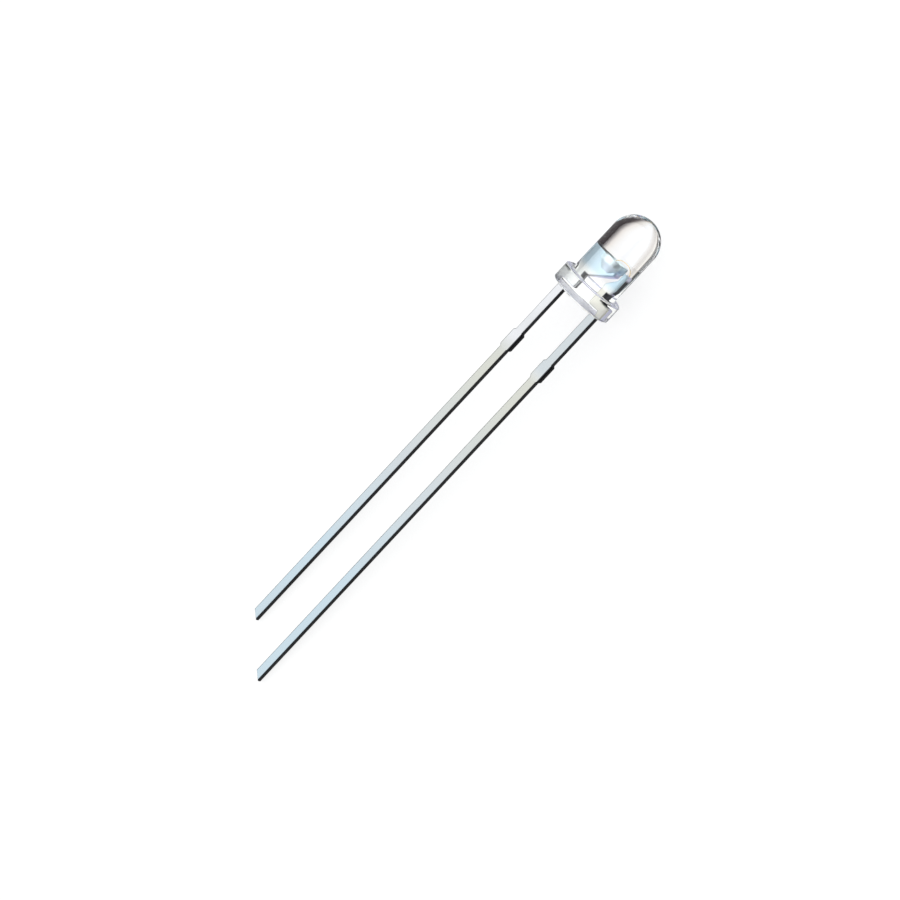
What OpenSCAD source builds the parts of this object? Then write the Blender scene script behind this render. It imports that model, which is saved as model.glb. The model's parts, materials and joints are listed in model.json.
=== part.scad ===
// Clear 3 mm through-hole LED, lying on its flange and on the tips of its two leads.
// Everything is drawn upright first: dome up, underside of the flange at zero, cathode towards +Y.

/* [Cast lens] */
// Radius of the straight barrel
barrel_r = 1.5; // [1.4:0.05:2.2]
// Height of the dome's tip above the underside of the flange
lens_h = 5.9; // [5.2:0.1:9]
// Radius of the flange
flange_r = 1.95; // [1.85:0.05:2.8]
// Thickness of the flange
flange_t = 1.1; // [0.9:0.05:1.3]
// Depth of the flat that marks the cathode side of the flange
flange_flat = 0.1; // [0.05:0.01:0.3]
// Radius of the flange's rounded edges
edge_r = 0.08; // [0.03:0.01:0.2]
// Radius of the fillet between flange and barrel
root_r = 0.12; // [0.05:0.01:0.25]
// Least thickness of the casting over the posts inside the barrel
cover = 0.38; // [0.2:0.01:0.42]

/* [Leads] */
// Distance between the centres of the two leads
pitch = 2.54; // [2.3:0.01:2.8]
// Width of a lead
lead_w = 0.5; // [0.35:0.01:0.6]
// Thickness of the sheet that the leads are stamped from
sheet_t = 0.5; // [0.3:0.01:0.6]
// Length of the cathode lead below the flange
cathode_len = 25.8; // [10:0.1:40]
// How much longer the anode lead is
anode_extra = 2.3; // [0:0.1:6]
// How much shorter each slanting cut tip is along its edge on the cathode's side
tip_slant = 0.4; // [0:0.01:0.4]
// Distance from the flange to the stubs of the cut tie bar
bar_z = 3.7; // [1:0.1:6]
// Height of the tie bar along the lead
bar_h = 1.3; // [0.6:0.1:3]
// How far the cut tie bar stands out at each side of a lead
bar_proud = 0.1; // [0.04:0.01:0.25]

/* [Posts inside the lens] */
// Height at which the leads step inwards, inside the flange
jog_z = 0.3; // [0.15:0.01:0.35]
// Height of that step
jog_h = 0.5; // [0.3:0.01:0.55]
// Width of each post just above the step
neck_w = 0.5; // [0.35:0.01:0.55]
// How far that neck reaches above the flange
neck_over = 0.2; // [0.1:0.01:0.25]
// How far each post widens outwards above its neck
flare = 0.22; // [0.1:0.01:0.3]
// Clear gap between the cup and the anode post
post_gap = 0.2; // [0.12:0.01:0.25]
// How far the top of the anode post lies below the rim of the cup
anode_drop = 0.2; // [0:0.01:0.4]
// Corner cut off the top of the cathode post, three times that of the anode post
corner = 0.22; // [0.1:0.01:0.25]

/* [Reflector cup] */
// Height of the cup's rim above the underside of the flange
cup_top = 3.05; // [2.9:0.01:3.6]
// Depth of the cup
cup_depth = 0.4; // [0.3:0.01:0.5]
// Radius of the cup's mouth
mouth_r = 0.47; // [0.4:0.01:0.5]
// Radius of the cup's floor
floor_r = 0.3; // [0.27:0.01:0.34]
// Wall of the cup at its rim
cup_wall = 0.09; // [0.05:0.01:0.1]
// Radius at the foot of the swelling under the cup
swell_r = 0.3; // [0.25:0.01:0.35]
// Height of that swelling below the cup's floor
swell_h = 0.45; // [0.4:0.01:0.5]
// Height of the upright ends of anvil and post below the cup's floor
end_h = 0.35; // [0.3:0.01:0.4]

/* [Chip and wire] */
// Width of the square chip
die_w = 0.28; // [0.2:0.01:0.3]
// Height of the chip
die_h = 0.24; // [0.15:0.01:0.26]
// Thickness of the adhesive under the chip
glue_t = 0.03; // [0.01:0.01:0.05]
// How far the adhesive climbs the sides of the chip
glue_climb = 0.06; // [0.03:0.01:0.1]
// How far the adhesive reaches past the corners of the chip
glue_lip = 0.015; // [0.01:0.005:0.02]
// Diameter of the bond wire
wire_d = 0.03; // [0.02:0.005:0.05]
// Diameter of the ball where the wire meets the chip
ball_d = 0.09; // [0.06:0.005:0.12]
// Rise of the wire's loop above the chip
loop_h = 0.42; // [0.3:0.01:0.7]

/* [Hidden] */
$fn = 64;

// Allowance by which a cutting shape runs past what it cuts
past = 0.5;
dome_z = lens_h - barrel_r;

// Edges of the leads and posts, as distances from the axis
lead_in = (pitch - lead_w) / 2;
lead_out = (pitch + lead_w) / 2;
post_out = barrel_r - cover;
neck_out = post_out - flare;
neck_in = neck_out - neck_w;
cup_r = mouth_r + cup_wall;
post_in = cup_r + post_gap;

// Heights inside the lens
neck_z = flange_t + neck_over;
flare_z = neck_z + 2 * flare;
cup_floor = cup_top - cup_depth;
swell_z = cup_floor - swell_h;
end_z = cup_floor - end_h;
rim_bevel = cup_wall / 3;
anode_top = cup_top - anode_drop;
die_z = cup_floor + glue_t;
die_top = die_z + die_h;

// Angles at which the three contact points, the flange and both tips, lie on one plane
lean = atan((flange_r - sheet_t / 2) / (cathode_len - tip_slant + edge_r + lead_out * anode_extra / pitch));
roll = asin(anode_extra * tan(lean) / pitch);
seat_h = edge_r + (flange_r - edge_r) * cos(lean) - edge_r * sin(lean);
dome_x = dome_z * cos(lean) + barrel_r;
tip_x = -(cathode_len + anode_extra) * cos(lean);

// Turns the upright LED into the position in which it rests, centred over the origin
module lay() {
    translate([-(dome_x + tip_x) / 2, 0, seat_h])
        rotate([0, 90 - lean, 0])
            rotate([0, 0, -roll])
                children();
}

// A flat blank stamped from the sheet, from an outline of [distance from the axis, height]
module stamped(outline) {
    rotate([90, 0, 90])
        linear_extrude(height = sheet_t, center = true)
            polygon(outline);
}

// Edge of one lead from below the tie bar up to the flange, at distance y, its stub pointing side
function bar_edge(y, side) = [
    [y, -bar_z - bar_h],
    [y + side * bar_proud, -bar_z - bar_h + bar_proud],
    [y + side * bar_proud, -bar_z - bar_proud],
    [y, -bar_z]
];

// A straight lead, its two edges cut to their own lengths, joined to a post that runs from outside to inside
function lead_outline(inner_len, outer_len, post) = concat(
    [[lead_in, -inner_len], [lead_out, -outer_len]],
    bar_edge(lead_out, 1),
    [[lead_out, jog_z + jog_h]],
    post,
    [[lead_in, jog_z]],
    [for (i = [3:-1:0]) bar_edge(lead_in, -1)[i]]
);

// Anvil that widens across the axis to carry the cup
cathode_post = [
    [neck_out, jog_z + jog_h],
    [neck_out, neck_z],
    [post_out, flare_z],
    [post_out, cup_top - corner],
    [post_out - corner, cup_top],
    [-mouth_r, cup_top],
    [-mouth_r, end_z],
    [neck_in, neck_z],
    [neck_in, jog_z]
];

// Narrower post beside the cup, whose top takes the wire
anode_post = [
    [neck_out, jog_z + jog_h],
    [neck_out, neck_z],
    [post_out, flare_z],
    [post_out, anode_top - corner / 3],
    [post_out - corner / 3, anode_top],
    [post_in, anode_top],
    [post_in, end_z],
    [neck_in, flare_z],
    [neck_in, jog_z]
];

module flange_section() {
    translate([0, edge_r]) square([flange_r, flange_t - 2 * edge_r]);
    square([flange_r - edge_r, flange_t]);
    for (z = [edge_r, flange_t - edge_r])
        translate([flange_r - edge_r, z]) circle(r = edge_r);
    // fillet at the root of the barrel
    difference() {
        translate([0, flange_t / 2]) square([barrel_r + root_r, flange_t / 2 + root_r]);
        translate([barrel_r + root_r, flange_t + root_r]) circle(r = root_r);
    }
}

// Outside of the casting
module lens_form() {
    difference() {
        rotate_extrude() flange_section();
        translate([-flange_r, flange_r - flange_flat, -past])
            cube([2 * flange_r, flange_flat + past, flange_t + 2 * past]);
    }
    cylinder(r = barrel_r, h = dome_z);
    translate([0, 0, dome_z]) sphere(r = barrel_r);
}

// Round swelling that the cup is coined into
module cup_blank() {
    rotate_extrude()
        polygon([
            [0, swell_z], [swell_r, swell_z], [cup_r, cup_floor],
            [cup_r, cup_top - rim_bevel], [cup_r - rim_bevel, cup_top], [0, cup_top]
        ]);
}

// Inside of the cup, run on past the rim
module cup_hollow() {
    slope = (mouth_r - floor_r) / cup_depth;
    translate([0, 0, cup_floor])
        cylinder(r1 = floor_r, r2 = mouth_r + slope * past, h = cup_depth + past);
}

module cathode_form() {
    difference() {
        union() {
            stamped(lead_outline(cathode_len, cathode_len - tip_slant, cathode_post));
            cup_blank();
        }
        cup_hollow();
    }
}

module anode_form() {
    anode_len = cathode_len + anode_extra;
    mirror([0, 1, 0]) stamped(lead_outline(anode_len - tip_slant, anode_len, anode_post));
}

module die_form() {
    translate([-die_w / 2, -die_w / 2, die_z]) cube([die_w, die_w, die_h]);
}

// Bead of adhesive on the cup's floor, with the chip sunk into it
module attach_form() {
    bead_r = die_w / sqrt(2) + glue_lip;
    difference() {
        translate([0, 0, cup_floor])
            cylinder(r1 = min(floor_r, bead_r + glue_climb), r2 = bead_r, h = glue_t + glue_climb);
        die_form();
    }
}

// Route of the wire in the plane of the sheet, as [distance from the axis, height]
wire_sides = 8;
wire_steps = 12;
ball_h = ball_d / 3;
foot_h = wire_d / 2;
foot_y = -(post_in + post_out) / 2;
route_start = [0, die_top + ball_h];
route_rise = [0, die_top + 1.1 * loop_h];
route_fall = [0.75 * foot_y, die_top + 1.25 * loop_h];
route_end = [foot_y, anode_top + foot_h];

function on_route(t) = pow(1 - t, 3) * route_start + 3 * t * pow(1 - t, 2) * route_rise
    + 3 * t * t * (1 - t) * route_fall + pow(t, 3) * route_end;
function heading(a, b) = let (d = b - a, h = atan2(d[1], d[0])) h < 0 ? h + 360 : h;

// Each ring is [centre, heading, half size across the route, half size across the sheet]
wire_rings = concat(
    [[[0, die_top], 90, ball_d / 2, ball_d / 2], [route_start, 90, ball_d / 2, ball_d / 2]],
    [for (i = [1:wire_steps - 1]) let (t = i / wire_steps, dt = 0.5 / wire_steps)
        [on_route(t), heading(on_route(t - dt), on_route(t + dt)), wire_d / 2, wire_d / 2]],
    [[route_end, 270, wire_d, 0.8 * wire_d], [[foot_y, anode_top], 270, wire_d, 0.8 * wire_d]]
);

function ring_point(ring, turn) = [
    ring[3] * sin(turn),
    ring[0][0] - ring[2] * cos(turn) * sin(ring[1]),
    ring[0][1] + ring[2] * cos(turn) * cos(ring[1])
];

// Ball, loop and foot of the wire as one tube
module wire_form() {
    last = len(wire_rings) - 1;
    polyhedron(
        points = [for (ring = wire_rings, k = [0:wire_sides - 1]) ring_point(ring, k * 360 / wire_sides)],
        faces = concat(
            [[for (k = [0:wire_sides - 1]) k]],
            [[for (k = [wire_sides - 1:-1:0]) last * wire_sides + k]],
            [for (i = [0:last - 1], k = [0:wire_sides - 1], half = [0, 1])
                let (a = i * wire_sides + k, b = i * wire_sides + (k + 1) % wire_sides)
                half == 0 ? [a, a + wire_sides, b] : [b, a + wire_sides, b + wire_sides]]
        )
    );
}

module epoxy_lens() {
    color([0.93, 0.97, 1, 0.35]) lay() difference() {
        lens_form();
        cathode_form();
        anode_form();
        die_form();
        attach_form();
        wire_form();
    }
}

module cathode_lead() { color("silver") lay() cathode_form(); }

module anode_lead() { color("silver") lay() anode_form(); }

module led_die() { color([0.35, 0.38, 0.3]) lay() die_form(); }

module die_attach() { color([0.8, 0.8, 0.78]) lay() attach_form(); }

module bond_wire() { color("gold") lay() wire_form(); }

epoxy_lens();
cathode_lead();
anode_lead();
led_die();
die_attach();
bond_wire();
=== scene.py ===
"""Clear 3 mm through-hole LED: cast lens, stamped lead frame, chip, adhesive and bond wire.

Each piece is modelled upright in millimetres, dome up and cathode towards +Y, with the underside of the
flange at zero height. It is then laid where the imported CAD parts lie.
"""

import json
import math
from functools import reduce
from types import SimpleNamespace

import bmesh
import bpy
from bpy.props import FloatProperty, FloatVectorProperty, PointerProperty
from mathutils import Matrix, Quaternion, Vector


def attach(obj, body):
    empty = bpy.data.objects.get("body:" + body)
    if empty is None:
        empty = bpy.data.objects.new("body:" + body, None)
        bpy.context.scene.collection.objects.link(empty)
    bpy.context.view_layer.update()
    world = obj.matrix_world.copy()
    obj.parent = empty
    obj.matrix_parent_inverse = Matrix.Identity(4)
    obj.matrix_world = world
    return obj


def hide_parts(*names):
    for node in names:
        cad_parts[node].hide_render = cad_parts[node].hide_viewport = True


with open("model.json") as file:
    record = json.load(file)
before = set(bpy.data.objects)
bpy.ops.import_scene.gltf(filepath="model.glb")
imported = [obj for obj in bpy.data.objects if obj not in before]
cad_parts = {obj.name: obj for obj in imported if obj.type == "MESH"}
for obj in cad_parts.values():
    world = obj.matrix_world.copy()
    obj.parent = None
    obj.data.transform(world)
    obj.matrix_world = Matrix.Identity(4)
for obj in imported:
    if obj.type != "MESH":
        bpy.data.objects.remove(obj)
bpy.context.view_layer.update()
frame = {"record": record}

bl_info = {
    "name": "Clear LED",
    "version": (1, 0, 0),
    "blender": (4, 5, 0),
    "location": "3D View > Sidebar > LED",
    "description": "Models a clear through-hole LED with its lead frame, chip and bond wire",
    "category": "Object",
}

MM = 0.001
SAME_PLACE = 1e-4
MERGE_DISTANCE = 1e-5
MOUNTS = {mount["name"]: mount for mount in frame["record"]["mounts"]}
UNDERSIDE = Vector(MOUNTS["flange_underside"]["pos_m"])
LENS_AXIS = Vector(MOUNTS["lens_barrel"]["axis"]).normalized()
PIN_LINE = Vector(MOUNTS["cathode_pin"]["pos_m"]) - Vector(MOUNTS["anode_pin"]["pos_m"])


def resting_turn():
    """Turns the upright LED to the way it lies: its height along the lens axis, its cathode side outwards."""
    across = PIN_LINE.normalized()
    axes = (across.cross(LENS_AXIS), across, LENS_AXIS)
    return Matrix(axes).transposed().to_4x4()


RESTING_PLACE = Matrix.Translation(UNDERSIDE) @ resting_turn()


# Sizes, colours and strengths that a user would change

def number(name, description, default):
    return FloatProperty(name=name, description=description, default=default, min=0.0)


def angle(name, description, degrees):
    turn = math.radians(degrees)
    return FloatProperty(name=name, description=description, default=turn, subtype="ANGLE")


def length(name, description, millimetres):
    return FloatProperty(
        name=name, description=description, default=millimetres * MM, min=0.0, unit="LENGTH", precision=6
    )


def colour(name, of, red, green, blue):
    return FloatVectorProperty(
        name=name, description=f"Colour of {of}", default=(red, green, blue), min=0.0, max=1.0,
        subtype="COLOR",
    )


class LensSizes(bpy.types.PropertyGroup):
    barrel_radius: length("Barrel radius", "Radius of the barrel", MOUNTS["lens_barrel"]["dims"]["r_mm"])
    height: length("Height", "From the underside of the flange to the dome's tip", 5.9)
    flange_radius: length("Flange radius", "Radius of the flange", 1.95)
    flange_thickness: length("Flange thickness", "Thickness of the flange", 1.1)
    flat_depth: length("Flat", "Depth of the flat on the cathode side of the flange", 0.1)
    edge_radius: length("Edge radius", "Radius of the flange's rounded edges", 0.08)
    root_radius: length("Root radius", "Radius of the fillet under the barrel", 0.12)
    dish: length("Dish", "How far the middle of the open cast side has sunk", 0.05)
    climb: length("Climb", "How far the resin has climbed along each lead", 0.16)
    climb_reach: length("Climb reach", "How far from a lead that climb fades", 0.11)


class LeadSizes(bpy.types.PropertyGroup):
    pitch: length("Pitch", "Distance between the centres of the leads", PIN_LINE.length / MM)
    width: length("Width", "Width of a lead", 0.5)
    thickness: length("Thickness", "Thickness of the stamped sheet", 0.5)
    cathode_length: length("Cathode lead", "Length of the cathode lead below the flange", 25.8)
    anode_length: length("Anode lead", "Length of the anode lead below the flange", 28.1)
    tip_slant: length("Tip slant", "How much shorter a cut tip is along its cathode side", 0.4)
    bar_distance: length("Tie bar distance", "From the flange to the stubs of the cut tie bar", 3.7)
    bar_height: length("Tie bar height", "Height of the stubs along the lead", 1.3)
    bar_proud: length("Tie bar stubs", "How far the stubs stand out", 0.1)
    edge_radius: length("Edge radius", "Radius of the plated edges", 0.08)


class PostSizes(bpy.types.PropertyGroup):
    cover: length("Cover", "Thickness of resin over the posts inside the barrel", 0.38)
    step_start: length("Step start", "Height at which a lead steps inwards", 0.3)
    step_height: length("Step height", "Height of that step", 0.5)
    neck_width: length("Neck width", "Width of a post above the step", 0.5)
    neck_over: length("Neck height", "How far a neck reaches above the flange", 0.2)
    flare: length("Flare", "How far a post widens above its neck", 0.22)
    gap: length("Gap", "Clear gap between the cup and the anode post", 0.2)
    anode_drop: length("Anode drop", "How far the anode post ends below the cup's rim", 0.2)
    corner: length("Corner", "Size of the corner cut off the cathode post", 0.22)


class CupSizes(bpy.types.PropertyGroup):
    rim_height: length("Rim height", "Height of the cup's rim above the underside", 3.05)
    depth: length("Depth", "Depth of the cup", 0.4)
    mouth_radius: length("Mouth radius", "Radius of the cup's mouth", 0.47)
    floor_radius: length("Floor radius", "Radius of the cup's floor", 0.3)
    wall: length("Wall", "Wall of the cup at its rim", 0.09)
    foot_radius: length("Foot radius", "Radius of the swelling under the cup", 0.3)
    swelling: length("Swelling", "Height of the swelling below the cup's floor", 0.45)
    end_height: length("End height", "How far the ends of anvil and post reach below the cup's floor", 0.35)


class ChipSizes(bpy.types.PropertyGroup):
    width: length("Chip width", "Width of the square chip", 0.28)
    height: length("Chip height", "Height of the chip", 0.24)
    rim: length("Chip rim", "Width of the chip's lowered rim", 0.02)
    rim_drop: length("Rim drop", "How far the rim lies below the chip's top", 0.012)
    edge_radius: length("Edge radius", "Radius of the chip's edges", 0.004)
    glue: length("Adhesive", "Thickness of the adhesive under the chip", 0.03)
    glue_climb: length("Adhesive climb", "How far the adhesive climbs the chip", 0.06)
    glue_lip: length("Adhesive lip", "How far the adhesive reaches past the chip's corners", 0.015)
    pad_radius: length("Pad radius", "Radius of the bond pad on the chip", 0.062)
    pad_thickness: length("Pad thickness", "Thickness of the bond pad", 0.006)
    wire: length("Wire", "Diameter of the bond wire", 0.03)
    ball: length("Ball", "Diameter of the ball where the wire meets the chip", 0.09)
    loop: length("Loop", "Rise of the wire's loop above the chip", 0.42)


class Finishes(bpy.types.PropertyGroup):
    resin: colour("Resin", "the clear resin", 0.985, 0.99, 1.0)
    open_resin: colour("Open side", "the resin's dull open side", 0.55, 0.57, 0.86)
    tip_tin: colour("Tin at the tips", "the tin plate towards the tips", 0.29, 0.35, 0.385)
    tin: colour("Tin", "the tin plate halfway along the leads", 0.32, 0.34, 0.35)
    warm_tin: colour("Warm tin", "the yellowed tin plate below the tie bar", 0.34, 0.34, 0.305)
    fresh_tin: colour("Fresh tin", "the tin plate above the tie bar", 0.42, 0.42, 0.43)
    pale_silver: colour("Pale silver", "the silver plate inside the flange", 0.96, 0.97, 0.91)
    # Painted shade: the same silver plate, darker on the anode's foot inside the flange
    foot_silver_shade: colour("Shaded foot silver", "the silver plate on the anode's foot", 0.82, 0.80, 0.69)
    silver: colour("Silver", "the silver plate of anvil and post", 0.62, 0.79, 0.87)
    cup_silver: colour("Cup silver", "the silver plate of the cup", 0.85, 0.98, 1.0)
    side_silver: colour("Side silver", "the silvered sides inside the lens", 0.84, 0.84, 1.0)
    dulled_plate: colour("Dulled plate", "dull patches in the plate", 0.36, 0.37, 0.37)
    marked_plate: colour("Drawing marks", "the drawing marks in the plate", 0.28, 0.29, 0.31)
    # Near-black: the bare steel's own dark tone, deepened as painted shade on the leads' sides
    sheared: colour("Sheared steel", "the sheared sides of the leads", 0.03, 0.03, 0.034)
    punch_marks: colour("Punch marks", "the marks on the sheared sides", 0.02, 0.02, 0.022)
    worn_steel: colour("Worn steel", "pale patches on the sheared sides", 0.12, 0.125, 0.14)
    # Also the colour of the painted shade along the plate's edges
    cut: colour("Cut steel", "the cut tie bar and of dark edges of the plate", 0.02, 0.02, 0.022)
    adhesive: colour("Adhesive", "the silver flakes in the adhesive", 0.62, 0.62, 0.60)
    binder: colour("Binder", "the adhesive between its flakes", 0.40, 0.39, 0.37)
    chip: colour("Chip", "the chip", 0.10, 0.12, 0.09)
    pale_chip: colour("Pale chip", "pale patches of the chip", 0.20, 0.22, 0.17)
    gold: colour("Gold", "the bond wire and the pad", 1.0, 0.72, 0.30)
    marked_gold: colour("Marked gold", "the drawing marks in the gold", 0.82, 0.52, 0.18)


class StageSettings(bpy.types.PropertyGroup):
    azimuth: angle("Azimuth", "Camera's direction round the LED", 24.45)
    elevation: angle("Elevation", "Camera's height above the horizon", 73.16)
    roll: angle("Roll", "How far the camera is rolled to its right", 69.53)
    lens: number("Focal length", "Camera's focal length in millimetres", 400.0)
    frame_width: length("Picture width", "Width that the picture spans at the flange", 49.8)
    glow: number("Glow", "Strength of the floor's own light", 0.80)
    floor: number("Floor", "How much of the light from above the floor gives back", 0.16)
    # Painted shade: polished surfaces mirror the floor in this dim grey, not in its own white
    mirrored_floor_shade: colour("Mirrored floor", "the floor where polished surfaces mirror it", 0.22, 0.22, 0.22)
    softbox: number("Softbox", "Strength of the broad light overhead", 2.2)
    overhead: colour("Overhead", "the broad light overhead", 0.97, 0.99, 1.0)
    surroundings: colour("Surroundings", "the room round about", 0.05, 0.045, 0.05)
    backdrop: colour("Backdrop", "the ground past the floor", 0.96, 0.96, 0.97)


# Modelling helpers

def in_mm(sizes):
    """The lengths of a property group in millimetres."""
    return SimpleNamespace(**{name: getattr(sizes, name) / MM for name in sizes.__annotations__})


def spot(x, z):
    """A point of a section in the XZ plane."""
    return Vector((x, 0.0, z))


def line_to(bm, vert, point, steps=1):
    """Carries an outline on to a point in equal steps and gives its new end."""
    step = (point - vert.co) / steps
    for _ in range(steps):
        vert = bmesh.ops.extrude_vert_indiv(bm, verts=[vert])["verts"][0]
        bmesh.ops.translate(bm, verts=[vert], vec=step)
    return vert


def arc_round(bm, vert, centre, degrees, steps):
    """Carries a section on round a centre, in the XZ plane, and gives its new end."""
    turned = bmesh.ops.spin(
        bm, geom=[vert], cent=centre, axis=(0, 1, 0), angle=math.radians(degrees), steps=steps
    )
    return next(part for part in turned["geom_last"] if isinstance(part, bmesh.types.BMVert))


def turn_on_axis(bm, steps):
    """Spins the section right round the upright axis and closes its poles."""
    bmesh.ops.spin(
        bm, geom=bm.verts[:] + bm.edges[:], cent=(0, 0, 0), axis=(0, 0, 1), angle=math.tau, steps=steps,
        use_merge=True,
    )
    bmesh.ops.remove_doubles(bm, verts=bm.verts, dist=MERGE_DISTANCE)
    bmesh.ops.recalc_face_normals(bm, faces=bm.faces)


def round_edges(bm, edges, radius, segments=3):
    """Rounds edges and gives the new faces."""
    return bmesh.ops.bevel(
        bm, geom=edges, offset=radius, offset_type="OFFSET", segments=segments, profile=0.5, affect="EDGES",
        clamp_overlap=True, material=-1,
    )["faces"]


def joined(first, second, operation):
    """The mesh that a Boolean of two closed meshes gives, as a new bmesh. Both bmeshes are used up."""
    parts = []
    for bm in (first, second):
        mesh = bpy.data.meshes.new("blank")
        bm.to_mesh(mesh)
        bm.free()
        part = bpy.data.objects.new("blank", mesh)
        bpy.context.scene.collection.objects.link(part)
        parts.append(part)
    cut = parts[0].modifiers.new("cut", "BOOLEAN")
    cut.operation = operation
    cut.solver = "EXACT"
    cut.object = parts[1]
    result = bmesh.new()
    result.from_object(parts[0], bpy.context.evaluated_depsgraph_get())
    for part in parts:
        bpy.data.meshes.remove(part.data)
    return result


def finish_piece(name, bm, materials, node, sharp_degrees=40):
    """Lays the upright mesh in its resting place and lets the piece stand for its CAD node."""
    bmesh.ops.scale(bm, vec=(MM, MM, MM), verts=bm.verts)
    bmesh.ops.transform(bm, matrix=RESTING_PLACE, verts=bm.verts)
    mesh = bpy.data.meshes.new(name)
    bm.to_mesh(mesh)
    bm.free()
    for material in materials:
        mesh.materials.append(material)
    mesh.shade_smooth()
    mesh.set_sharp_from_angle(angle=math.radians(sharp_degrees))
    piece = bpy.data.objects.new(name, mesh)
    bpy.context.scene.collection.objects.link(piece)
    weighted = piece.modifiers.new("even shading", "WEIGHTED_NORMAL")
    weighted.keep_sharp = True
    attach(piece, "root")
    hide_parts(node)
    return piece


# Materials

# Of the sockets of a Mix node, these are the ones for colours
MIX_FACTOR, MIX_FIRST, MIX_SECOND, MIX_RESULT = 0, 6, 7, 2


def set_inputs(tree, node, values):
    """Sets inputs of a node to values, or links them to sockets. Colours are given without alpha."""
    for name, value in values.items():
        socket = node.inputs[name]
        if isinstance(value, bpy.types.NodeSocket):
            tree.links.new(value, socket)
        elif socket.type == "RGBA":
            socket.default_value = (*value, 1.0)
        else:
            socket.default_value = value


def add(tree, kind, values=None, **settings):
    """A node with its settings and inputs."""
    made = tree.nodes.new(kind)
    for name, value in settings.items():
        setattr(made, name, value)
    set_inputs(tree, made, values or {})
    return made


def calculated(operation, *values):
    """What a Math node gives for a socket and further sockets or numbers."""
    return add(values[0].id_data, "ShaderNodeMath", dict(enumerate(values)), operation=operation).outputs[0]


def mixed(factor, first, second):
    """A colour between two, by a factor that changes over the surface."""
    colours = {MIX_FACTOR: factor, MIX_FIRST: first, MIX_SECOND: second}
    return add(factor.id_data, "ShaderNodeMix", colours, data_type="RGBA").outputs[MIX_RESULT]


def scaled(shade, factor):
    """A colour times a number."""
    values = {0: shade, "Scale": factor}
    return add(shade.id_data, "ShaderNodeVectorMath", values, operation="SCALE").outputs[0]


def spread_between(factor, low, high):
    """A number between low and high as the factor goes from 0 to 1."""
    values = {"Value": factor, "To Min": low, "To Max": high}
    return add(factor.id_data, "ShaderNodeMapRange", values).outputs["Result"]


def ramp_between(value, start, end):
    """0 up to the start, 1 from the end on, and a smooth change between."""
    values = {"Value": value, "From Min": start, "From Max": end}
    return add(value.id_data, "ShaderNodeMapRange", values, interpolation_type="SMOOTHSTEP").outputs["Result"]


def faded(place, ends):
    """A mask by a place in metres: 0 at the first of two ends in millimetres, and 1 at the second."""
    return ramp_between(place, ends[0] * MM, ends[1] * MM)


def both(*masks):
    """1 where all masks are 1."""
    return reduce(lambda first, second: calculated("MULTIPLY", first, second), masks)


def either(*masks):
    """1 where one of the masks is 1."""
    return reduce(lambda first, second: calculated("MAXIMUM", first, second), masks)


def tones_along(place, span, stops):
    """Colour by a place in metres, through (place, colour) stops that lie in a span, both in millimetres."""
    low, high = span
    values = {"Value": place, "From Min": low * MM, "From Max": high * MM}
    along = add(place.id_data, "ShaderNodeMapRange", values)
    ramp = add(place.id_data, "ShaderNodeValToRGB", {"Fac": along.outputs["Result"]})
    elements = ramp.color_ramp.elements
    shares = [(stop[0] - low) / (high - low) for stop in stops]
    for share in shares[1:-1]:
        elements.new(share)
    for element, share, stop in zip(elements, shares, stops):
        element.position = share
        element.color = (*stop[1], 1.0)
    return ramp.outputs["Color"]


def bumped(tree, shader, height, distance, strength):
    """Raises the surface by a height from 0 to 1 of a distance in millimetres."""
    bump = add(tree, "ShaderNodeBump", {"Height": height, "Distance": distance * MM, "Strength": strength})
    set_inputs(tree, shader, {"Normal": bump.outputs["Normal"]})


MADE = {}


def new_group(name, numbers, output, kind="NodeSocketFloat"):
    """A node group that takes a place and numbers, as (tree, its input sockets, its output node)."""
    tree = bpy.data.node_groups.new(name, "ShaderNodeTree")
    tree.interface.new_socket(name="Vector", in_out="INPUT", socket_type="NodeSocketVector")
    for label in numbers:
        tree.interface.new_socket(name=label, in_out="INPUT", socket_type="NodeSocketFloat")
    tree.interface.new_socket(name=output, in_out="OUTPUT", socket_type=kind)
    return tree, tree.nodes.new("NodeGroupInput").outputs, tree.nodes.new("NodeGroupOutput")


def place_group(maker, place, **values):
    """The output of a shared node group, which is made at its first use, at a place."""
    if maker not in MADE:
        MADE[maker] = maker()
    values["Vector"] = place
    return add(place.id_data, "ShaderNodeGroup", values, node_tree=MADE[maker]).outputs[0]


def drawn_grain():
    """Fine marks that run along the upright axis, as drawing and rolling leave them on strip."""
    tree, given, out = new_group("Drawn grain", ["Scale", "Stretch"], "Marks")
    stretch = add(tree, "ShaderNodeCombineXYZ", {"X": 1.0, "Y": 1.0, "Z": given["Stretch"]})
    factors = {0: given["Vector"], 1: stretch.outputs[0]}
    along = add(tree, "ShaderNodeVectorMath", factors, operation="MULTIPLY")
    noise = add(
        tree, "ShaderNodeTexNoise",
        {"Vector": along.outputs[0], "Scale": given["Scale"], "Detail": 4.0, "Roughness": 0.6},
    )
    set_inputs(tree, out, {"Marks": noise.outputs["Fac"]})
    return tree


def soft_patches():
    """Broad soft patches between 0 and 1, for tarnish, handling marks and uneven plating."""
    tree, given, out = new_group("Soft patches", ["Scale", "From", "To"], "Patches")
    values = {"Vector": given["Vector"], "Scale": given["Scale"], "Detail": 3.0}
    noise = add(tree, "ShaderNodeTexNoise", values)
    patches = ramp_between(noise.outputs["Fac"], given["From"], given["To"])
    set_inputs(tree, out, {"Patches": patches})
    return tree


def new_material(name):
    """A material as (material, tree, its shader)."""
    material = bpy.data.materials.new(name)
    material.use_nodes = True
    tree = material.node_tree
    return material, tree, tree.nodes["Principled BSDF"]


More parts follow.
